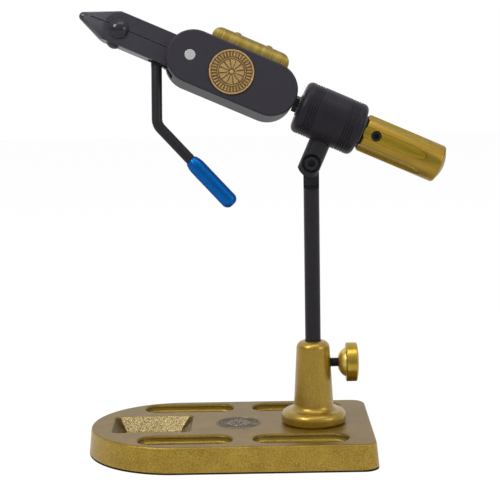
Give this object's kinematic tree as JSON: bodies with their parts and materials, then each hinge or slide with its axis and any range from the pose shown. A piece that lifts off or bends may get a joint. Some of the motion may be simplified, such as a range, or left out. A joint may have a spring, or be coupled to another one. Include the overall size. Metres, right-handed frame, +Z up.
{
  "type": "fly tying vise",
  "caption": "Rotary fly tying vise with a fluted knob, a tilting head, cam-opened split jaws and a heavy gold base with tool pockets.",
  "frame": {"origin": "centre of the stem on the surface that the base stands on, at the underside of the non-slip sheet", "axes": "+Z up along the stem, +X towards the rotary knob, so that the jaws point to -X, +Y away from the lever's side seen in the picture"},
  "size_m": [0.2195, 0.1108, 0.2678],
  "materials": {
    "hammered_paint": "hammered gold enamel on cast iron",
    "gold_paint": "smooth gold enamel",
    "gold_metal": "turned and gold anodised",
    "black_metal": "satin black oxide",
    "black_head": "satin black anodised",
    "jaw_steel": "hardened, black oxide",
    "bright_steel": "ground bright",
    "bronze": "struck bronze",
    "grey_disc": "struck, dark antique grey",
    "blue_grip": "satin blue",
    "sheet_rubber": "matt",
    "nylon": "natural nylon",
    "dark_nylon": "dark nylon"
  },
  "bodies": {
    "base": {"pocket_base": "hammered_paint", "base_sheet": "sheet_rubber", "base_disc": "grey_disc", "pedestal": "gold_paint", "pedestal_bolt": "black_metal", "pedestal_washer": "bright_steel"},
    "clamp_slider": {"clamp_tip": "bronze"},
    "clamp_screw": {"clamp_stud": "black_metal", "clamp_knob": "gold_metal"},
    "stem_lift": {"stem_foot": "nylon"},
    "stem": {"stem": "black_metal", "tilt_screw": "black_metal"},
    "barrel": {"neck": "black_metal", "barrel_housing": "black_metal", "front_bush": "bronze", "rear_bush": "bronze"},
    "head": {"rotor_shaft": "bright_steel", "jam_nut": "black_metal", "front_washer": "dark_nylon", "rear_washer": "dark_nylon", "rotary_knob": "gold_metal", "knob_set_screw": "black_metal", "head_body": "black_head", "lever_pin": "bright_steel", "jaw_anchor_pins": "bright_steel", "head_disc": "bronze", "thumb_rest": "gold_metal", "thumb_rest_screws": "gold_metal"},
    "lever": {"lever_cam": "black_metal", "lever_rod": "black_metal", "lever_grip": "blue_grip"},
    "upper_jaw": {"upper_jaw": "jaw_steel"},
    "lower_jaw": {"lower_jaw": "jaw_steel", "guide_pin": "black_metal", "guide_pin_cap": "black_metal", "guide_pin_screw": "black_metal"}
  },
  "joints": [
    {"name": "clamp_slide", "type": "slide", "parent": "base", "child": "clamp_slider", "axis": [1, 0, 0], "range_m": [0, 0.0021]},
    {"name": "clamp_turn", "type": "hinge", "parent": "clamp_slider", "child": "clamp_screw", "pos_m": [0.0153, 0, 0.0532], "axis": [1, 0, 0], "range_deg": [0, 762]},
    {"name": "stem_height", "type": "slide", "parent": "base", "child": "stem_lift", "axis": [0, 0, 1], "range_m": [0, 0.016]},
    {"name": "stem_swivel", "type": "hinge", "parent": "stem_lift", "child": "stem", "pos_m": [0, 0, 0.04], "axis": [0, 0, 1], "continuous": true},
    {"name": "head_tilt", "type": "hinge", "parent": "stem", "child": "barrel", "pos_m": [0, 0, 0.176], "axis": [0, 1, 0], "range_deg": [-38.75, 66.25]},
    {"name": "head_rotation", "type": "hinge", "parent": "barrel", "child": "head", "pos_m": [0.01158, 0, 0.20232], "axis": [0.9153, 0, -0.4027], "continuous": true},
    {"name": "lever_turn", "type": "hinge", "parent": "head", "child": "lever", "pos_m": [-0.07208, 0, 0.23913], "axis": [0.0927, -0.9732, 0.2106], "range_deg": [0, 22], "stiffness_Nm_per_rad": 0.9, "springref_deg": -3.44},
    {"name": "upper_jaw_open", "type": "hinge", "parent": "head", "child": "upper_jaw", "pos_m": [-0.04598, 0.00114, 0.2329], "axis": [-0.0927, 0.9732, -0.2106], "range_deg": [0, 1.85]},
    {"name": "lower_jaw_open", "type": "hinge", "parent": "head", "child": "lower_jaw", "pos_m": [-0.04986, -0.00114, 0.22408], "axis": [0.0927, -0.9732, 0.2106], "range_deg": [0, 1.85]}
  ],
  "couplings": [
    {"joint": "clamp_turn", "follows": "clamp_slide", "rad_per_m": 6283.2},
    {"joint": "upper_jaw_open", "follows": "lever_turn", "ratio": 0.081818},
    {"joint": "lower_jaw_open", "follows": "lever_turn", "ratio": 0.081818}
  ]
}
